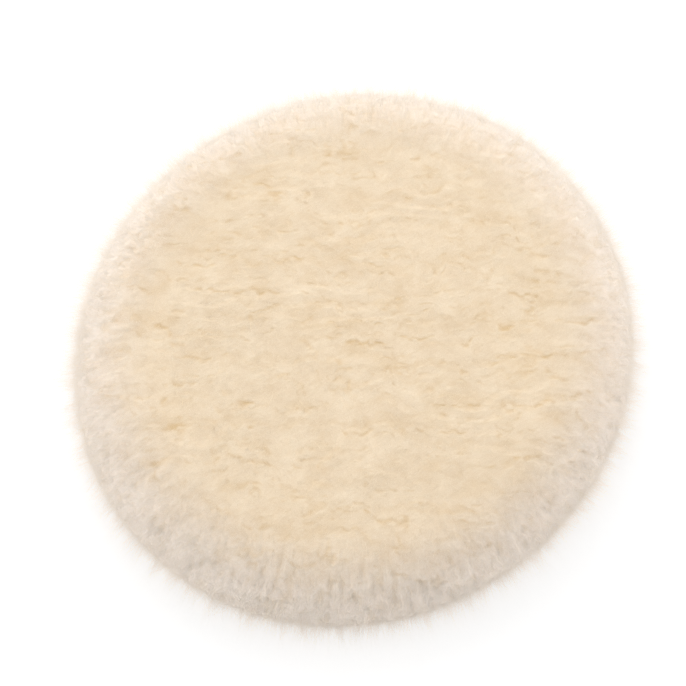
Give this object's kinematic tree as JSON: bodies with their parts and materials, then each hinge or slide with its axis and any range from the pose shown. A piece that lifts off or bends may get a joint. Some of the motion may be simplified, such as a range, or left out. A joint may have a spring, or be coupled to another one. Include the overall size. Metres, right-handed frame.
{
  "type": "polishing pad",
  "caption": "Round lambswool polishing pad, wool side up, with a skin, foam, canvas and velour loop back that grips a hook-faced backing plate.",
  "frame": {"origin": "centre of the loop fabric's lower face, which is the lowest plane of the pad", "axes": "+Z from the loop back towards the wool face, along the axis that the pad spins about; X and Y are equivalent"},
  "size_m": [0.16, 0.16, 0.031],
  "materials": {
    "lambswool": "matte",
    "lambskin": "matte",
    "laminating_glue": "satin",
    "foam": "matte",
    "canvas": "matte",
    "loop_velour": "matte",
    "thread": "satin"
  },
  "bodies": {
    "root": {"wool_pile": "lambswool", "lambskin_hide": "lambskin", "hide_glue": "laminating_glue", "foam_interlayer": "foam", "foam_glue": "laminating_glue", "backing_canvas": "canvas", "loop_fabric": "loop_velour", "needle_thread": "thread", "bobbin_thread": "thread"}
  },
  "joints": []
}
